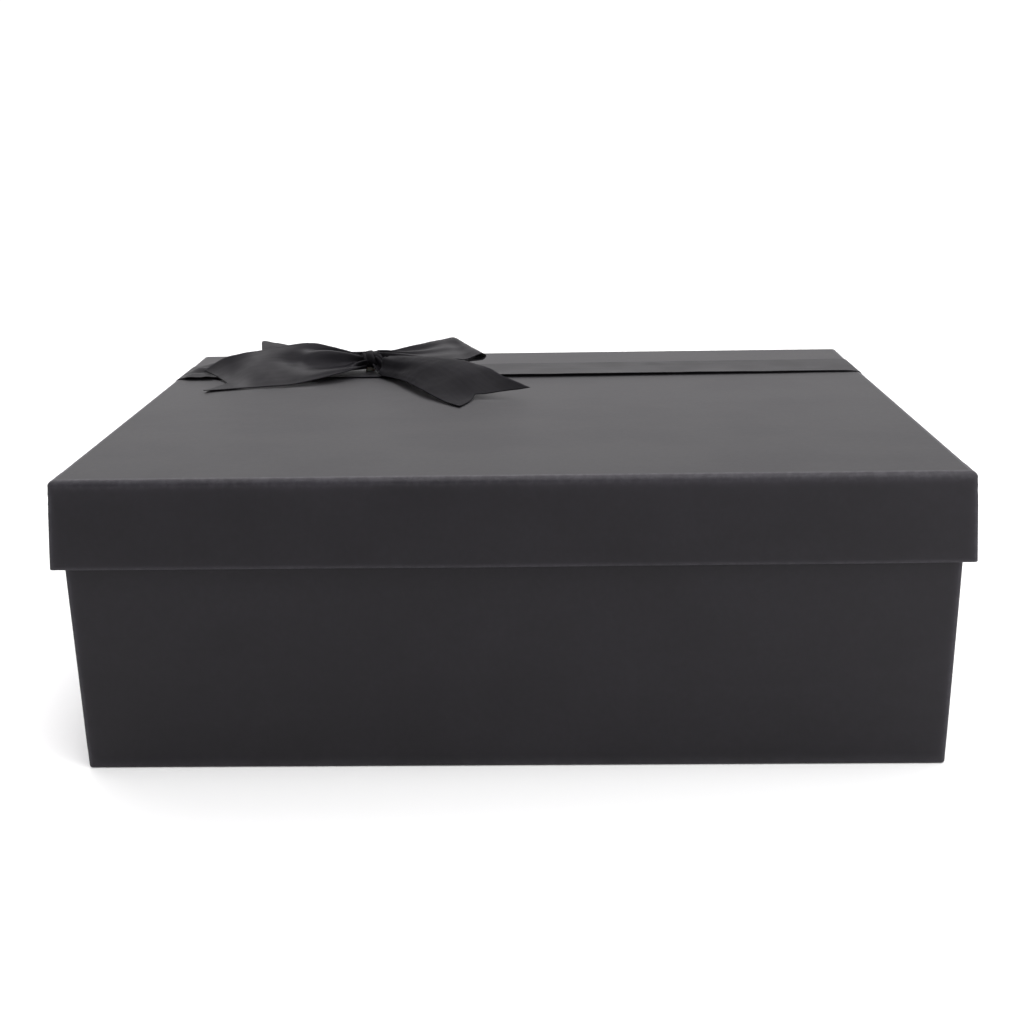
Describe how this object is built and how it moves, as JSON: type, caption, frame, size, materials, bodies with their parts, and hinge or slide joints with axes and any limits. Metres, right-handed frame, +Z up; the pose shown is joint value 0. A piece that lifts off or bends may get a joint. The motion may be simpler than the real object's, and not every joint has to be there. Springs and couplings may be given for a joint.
{
  "type": "gift box",
  "caption": "Rectangular rigid gift box in matte black paper, with a shallow lift-off lid, a black satin ribbon band across the lid and a bow tied off-centre.",
  "frame": {"origin": "centre of the footprint, on the surface that the box stands on", "axes": "+X along the box's length, to the right as seen from the front; +Y from the front to the back, where the ribbon band runs; +Z up"},
  "size_m": [0.3604, 0.2586, 0.1413],
  "materials": {
    "greyboard": "raw recycled greyboard",
    "kraft_tape": "gummed kraft paper tape",
    "cover_paper": "soft-touch matte black laminated paper, lightly scuffed",
    "lining_paper": "uncoated black paper",
    "satin_ribbon": "black double-faced polyester satin",
    "cloth_tape": "black cloth tape",
    "hot_melt_glue": "clear hot-melt glue"
  },
  "bodies": {
    "tray": {"tray_bottom_board": "greyboard", "tray_front_board": "greyboard", "tray_back_board": "greyboard", "tray_left_board": "greyboard", "tray_right_board": "greyboard", "tray_front_left_stay": "kraft_tape", "tray_front_right_stay": "kraft_tape", "tray_back_left_stay": "kraft_tape", "tray_back_right_stay": "kraft_tape", "tray_cover_paper": "cover_paper", "tray_base_sheet": "lining_paper", "tray_lining": "lining_paper"},
    "lid": {"lid_top_board": "greyboard", "lid_front_board": "greyboard", "lid_back_board": "greyboard", "lid_left_board": "greyboard", "lid_right_board": "greyboard", "lid_front_left_stay": "kraft_tape", "lid_front_right_stay": "kraft_tape", "lid_back_left_stay": "kraft_tape", "lid_back_right_stay": "kraft_tape", "lid_cover_paper": "cover_paper", "lid_lining": "lining_paper", "ribbon_band": "satin_ribbon", "ribbon_left_end_tape": "cloth_tape", "ribbon_right_end_tape": "cloth_tape", "bow_glue_dot": "hot_melt_glue", "bow_knot": "satin_ribbon", "bow_left_loop": "satin_ribbon", "bow_right_loop": "satin_ribbon", "bow_left_tail": "satin_ribbon", "bow_right_tail": "satin_ribbon"}
  },
  "joints": [
    {"name": "lid_lift", "type": "slide", "parent": "tray", "child": "lid", "axis": [0, 0, 1], "range_m": [0, 0.1]}
  ]
}
